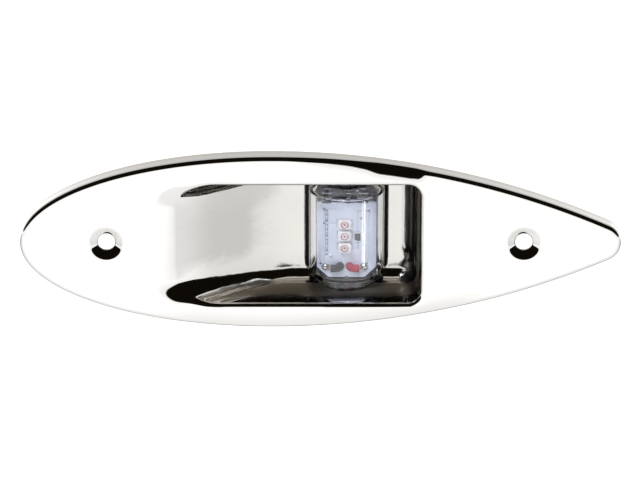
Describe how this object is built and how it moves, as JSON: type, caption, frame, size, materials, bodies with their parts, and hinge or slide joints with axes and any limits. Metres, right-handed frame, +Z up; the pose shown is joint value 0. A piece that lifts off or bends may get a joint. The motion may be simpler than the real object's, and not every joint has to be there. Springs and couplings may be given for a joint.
{
  "type": "navigation light",
  "caption": "Flush-mount boat side light: polished teardrop cover with a scoop pocket holding a clear lens and a small LED board.",
  "frame": {"origin": "on the plane where the cover's rim and its foam gasket meet the hull, midway between the two screw holes, which lie 2.8 mm in front of it", "axes": "+X from the round nose to the pointed tail, +Y into the hull, +Z up; the light shines towards -Y"},
  "size_m": [0.18, 0.0388, 0.055],
  "materials": {
    "polished_steel": "mirror-polished stainless steel",
    "foam": "closed-cell foam",
    "stud_steel": "plain stainless steel",
    "clear_lens": "clear moulded polycarbonate",
    "black_rubber": "moulded rubber",
    "black_housing": "fine-grained moulded plastic",
    "potting": "cast epoxy",
    "white_board": "white solder mask",
    "white_plastic": "moulded LED body",
    "clear_resin": "clear silicone",
    "red_die": "semiconductor chip",
    "tin": "tin plate and solder",
    "resistor_black": "glazed",
    "black_insulation": "extruded vinyl",
    "red_insulation": "extruded vinyl",
    "copper_core": "stranded copper, tinned at its end"
  },
  "bodies": {
    "root": {"cover_plate": "polished_steel", "hull_gasket": "foam", "weld_studs": "stud_steel", "stud_washers": "stud_steel", "stud_nuts": "stud_steel", "lens": "clear_lens", "lens_gasket": "black_rubber", "housing_seal": "black_rubber", "back_housing": "black_housing", "potting_compound": "potting", "wire_grommet": "black_rubber", "circuit_board": "white_board", "led_bodies": "white_plastic", "led_resin": "clear_resin", "led_dies": "red_die", "led_leads": "tin", "resistor_body": "resistor_black", "resistor_caps": "tin", "test_pads": "tin", "solder_joints": "tin", "black_wire_insulation": "black_insulation", "black_wire_core": "copper_core", "red_wire_insulation": "red_insulation", "red_wire_core": "copper_core"}
  },
  "joints": []
}
